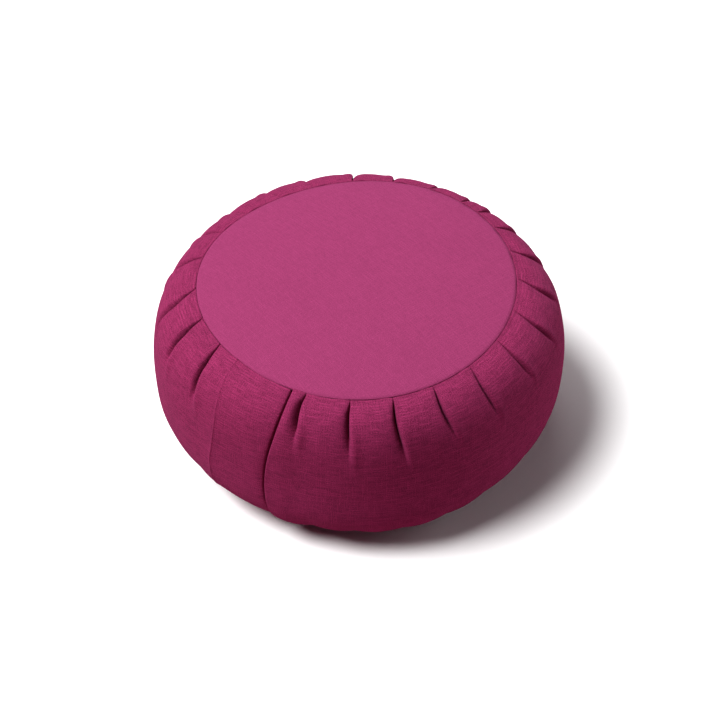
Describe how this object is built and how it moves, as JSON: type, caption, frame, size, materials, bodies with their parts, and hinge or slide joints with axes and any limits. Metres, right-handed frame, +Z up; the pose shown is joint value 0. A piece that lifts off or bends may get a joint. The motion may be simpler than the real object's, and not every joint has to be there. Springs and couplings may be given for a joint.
{
  "type": "zafu meditation cushion",
  "caption": "Round floor cushion with a crowned top panel, a pleated band drawn in at both seams, and a lapped closing edge at the front left.",
  "frame": {"origin": "middle of the cushion's outline, at the floor", "axes": "+Z up out of the crowned top panel; -Y towards the front, with the closing edge left of it"},
  "size_m": [0.34, 0.3314, 0.166],
  "materials": {
    "band_cotton": "matt plum pink cotton with a slubby plain weave",
    "panel_cotton": "matt plum pink cotton with a slubby plain weave, threads on the diagonal",
    "base_cotton": "matt plum pink cotton with a slubby plain weave"
  },
  "bodies": {
    "root": {"side_band": "band_cotton", "top_panel": "panel_cotton", "bottom_panel": "base_cotton"}
  },
  "joints": []
}
